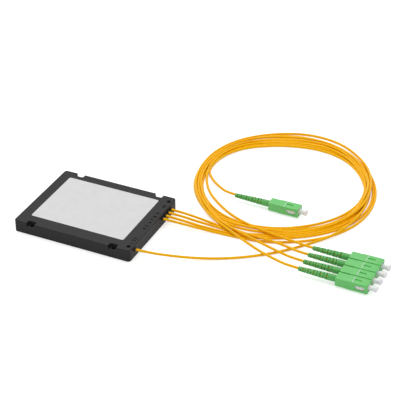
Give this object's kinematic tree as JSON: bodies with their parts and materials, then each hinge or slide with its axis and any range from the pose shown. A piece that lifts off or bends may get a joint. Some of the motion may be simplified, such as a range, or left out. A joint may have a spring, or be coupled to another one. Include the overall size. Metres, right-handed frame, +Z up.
{
  "type": "plc fibre splitter",
  "caption": "Flat plastic case with a planar fibre splitter inside, one input cable and several output cables coiled loose, each ending in an angled push-pull connector.",
  "frame": {"origin": "middle of the underside of the case", "axes": "+X along the case's long side, out through its cable ports, +Y across it, +Z up from the table"},
  "size_m": [0.2807, 0.2311, 0.01],
  "materials": {
    "case": "fine moulded texture, black",
    "label": "bare white sticker",
    "module_steel": "drawn stainless tube",
    "glass_block": "ground glass block",
    "chip": "polished silica chip",
    "fibre": "coated bare fibre",
    "glue": "cured potting",
    "cable": "smooth extruded jacket, orange",
    "grip": "satin moulded plastic, green",
    "white_plastic": "moulded white plastic",
    "ceramic": "polished zirconia",
    "spring_steel": "spring wire",
    "crimp_metal": "crimped sleeve",
    "boot": "soft moulded boot, green",
    "dust_cap": "translucent soft plastic"
  },
  "bodies": {
    "root": {"base_tray": "case", "top_cover": "case", "label": "label", "module_tube": "module_steel", "input_fibre_array": "glass_block", "splitter_chip": "chip", "output_fibre_array": "glass_block", "inner_fibres": "fibre", "cable_glue": "glue", "cable_coil": "cable", "output_1_plug_frame": "white_plastic", "output_1_ferrule_spring": "spring_steel", "output_1_rear_body": "white_plastic", "output_1_crimp_sleeve": "crimp_metal", "output_1_boot": "boot", "output_1_cable_in": "cable", "output_1_cable_out": "cable", "output_2_plug_frame": "white_plastic", "output_2_ferrule_spring": "spring_steel", "output_2_rear_body": "white_plastic", "output_2_crimp_sleeve": "crimp_metal", "output_2_boot": "boot", "output_2_cable_in": "cable", "output_2_cable_out": "cable", "output_3_plug_frame": "white_plastic", "output_3_ferrule_spring": "spring_steel", "output_3_rear_body": "white_plastic", "output_3_crimp_sleeve": "crimp_metal", "output_3_boot": "boot", "output_3_cable_in": "cable", "output_3_cable_out": "cable", "output_4_plug_frame": "white_plastic", "output_4_ferrule_spring": "spring_steel", "output_4_rear_body": "white_plastic", "output_4_crimp_sleeve": "crimp_metal", "output_4_boot": "boot", "output_4_cable_in": "cable", "output_4_cable_out": "cable", "input_plug_frame": "white_plastic", "input_ferrule_spring": "spring_steel", "input_rear_body": "white_plastic", "input_crimp_sleeve": "crimp_metal", "input_boot": "boot", "input_cable_in": "cable", "input_cable_out": "cable"},
    "output_1_grip": {"output_1_grip": "grip"},
    "output_1_ferrule": {"output_1_ferrule": "ceramic"},
    "output_1_dust_cap": {"output_1_dust_cap": "dust_cap"},
    "output_2_grip": {"output_2_grip": "grip"},
    "output_2_ferrule": {"output_2_ferrule": "ceramic"},
    "output_2_dust_cap": {"output_2_dust_cap": "dust_cap"},
    "output_3_grip": {"output_3_grip": "grip"},
    "output_3_ferrule": {"output_3_ferrule": "ceramic"},
    "output_3_dust_cap": {"output_3_dust_cap": "dust_cap"},
    "output_4_grip": {"output_4_grip": "grip"},
    "output_4_ferrule": {"output_4_ferrule": "ceramic"},
    "output_4_dust_cap": {"output_4_dust_cap": "dust_cap"},
    "input_grip": {"input_grip": "grip"},
    "input_ferrule": {"input_ferrule": "ceramic"},
    "input_dust_cap": {"input_dust_cap": "dust_cap"}
  },
  "joints": [
    {"name": "output_1_grip_slide", "type": "slide", "parent": "root", "child": "output_1_grip", "axis": [1, 0, 0], "range_m": [-0.0015, 0]},
    {"name": "output_1_ferrule_slide", "type": "slide", "parent": "root", "child": "output_1_ferrule", "axis": [1, 0, 0], "range_m": [-0.0008, 0], "stiffness_N_per_m": 800, "springref_m": 0.007, "deforming": ["output_1_ferrule_spring"]},
    {"name": "output_1_dust_cap_slide", "type": "slide", "parent": "output_1_ferrule", "child": "output_1_dust_cap", "axis": [1, 0, 0], "range_m": [0, 0.008]},
    {"name": "output_2_grip_slide", "type": "slide", "parent": "root", "child": "output_2_grip", "axis": [1, 0, 0], "range_m": [-0.0015, 0]},
    {"name": "output_2_ferrule_slide", "type": "slide", "parent": "root", "child": "output_2_ferrule", "axis": [1, 0, 0], "range_m": [-0.0008, 0], "stiffness_N_per_m": 800, "springref_m": 0.007, "deforming": ["output_2_ferrule_spring"]},
    {"name": "output_2_dust_cap_slide", "type": "slide", "parent": "output_2_ferrule", "child": "output_2_dust_cap", "axis": [1, 0, 0], "range_m": [0, 0.008]},
    {"name": "output_3_grip_slide", "type": "slide", "parent": "root", "child": "output_3_grip", "axis": [1, 0, 0], "range_m": [-0.0015, 0]},
    {"name": "output_3_ferrule_slide", "type": "slide", "parent": "root", "child": "output_3_ferrule", "axis": [1, 0, 0], "range_m": [-0.0008, 0], "stiffness_N_per_m": 800, "springref_m": 0.007, "deforming": ["output_3_ferrule_spring"]},
    {"name": "output_3_dust_cap_slide", "type": "slide", "parent": "output_3_ferrule", "child": "output_3_dust_cap", "axis": [1, 0, 0], "range_m": [0, 0.008]},
    {"name": "output_4_grip_slide", "type": "slide", "parent": "root", "child": "output_4_grip", "axis": [1, 0, 0], "range_m": [-0.0015, 0]},
    {"name": "output_4_ferrule_slide", "type": "slide", "parent": "root", "child": "output_4_ferrule", "axis": [1, 0, 0], "range_m": [-0.0008, 0], "stiffness_N_per_m": 800, "springref_m": 0.007, "deforming": ["output_4_ferrule_spring"]},
    {"name": "output_4_dust_cap_slide", "type": "slide", "parent": "output_4_ferrule", "child": "output_4_dust_cap", "axis": [1, 0, 0], "range_m": [0, 0.008]},
    {"name": "input_grip_slide", "type": "slide", "parent": "root", "child": "input_grip", "axis": [1, 0, 0], "range_m": [-0.0015, 0]},
    {"name": "input_ferrule_slide", "type": "slide", "parent": "root", "child": "input_ferrule", "axis": [1, 0, 0], "range_m": [-0.0008, 0], "stiffness_N_per_m": 800, "springref_m": 0.007, "deforming": ["input_ferrule_spring"]},
    {"name": "input_dust_cap_slide", "type": "slide", "parent": "input_ferrule", "child": "input_dust_cap", "axis": [1, 0, 0], "range_m": [0, 0.008]}
  ]
}
